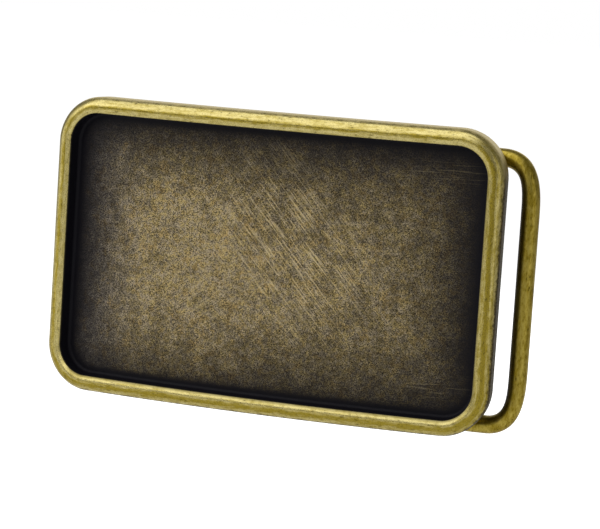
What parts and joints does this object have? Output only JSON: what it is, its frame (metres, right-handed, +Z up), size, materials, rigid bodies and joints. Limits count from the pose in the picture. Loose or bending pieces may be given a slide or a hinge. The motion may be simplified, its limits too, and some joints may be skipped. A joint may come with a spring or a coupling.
{
  "type": "belt buckle",
  "caption": "Bowed rectangular tray-face belt buckle with a bead rim, a swivel belt loop on a hinge behind one end and a leaning belt hook behind the other.",
  "frame": {"origin": "middle of the buckle's length and height, level with the tray's back edge at mid-length, where the belt lies", "axes": "as worn: +Z up, +X to the onlooker's right, towards the swivel loop, and the face towards -Y"},
  "size_m": [0.0903, 0.0164, 0.0544],
  "materials": {
    "tray_brass": "antique brass: black patina in the recess, relieved by hand; rim polished through",
    "loop_brass": "antique brass, tumbled, darker on its inner side",
    "plate_brass": "pressed sheet, antiqued, fine rolling lines",
    "rivet_brass": "set rivet heads, worn on the dome",
    "hook_brass": "antique brass, worn bright where the belt rubs"
  },
  "bodies": {
    "face": {"face_tray": "tray_brass", "hinge_bracket": "plate_brass", "hinge_rivets": "rivet_brass", "hook_plate": "plate_brass", "hook_plate_rivets": "rivet_brass", "belt_hook": "hook_brass"},
    "loop": {"swivel_loop": "loop_brass"}
  },
  "joints": [
    {"name": "loop_swivel", "type": "hinge", "parent": "face", "child": "loop", "pos_m": [0.0315, 0.0055, 0], "axis": [0, 0, 1], "range_deg": [-2.5, 192]}
  ]
}
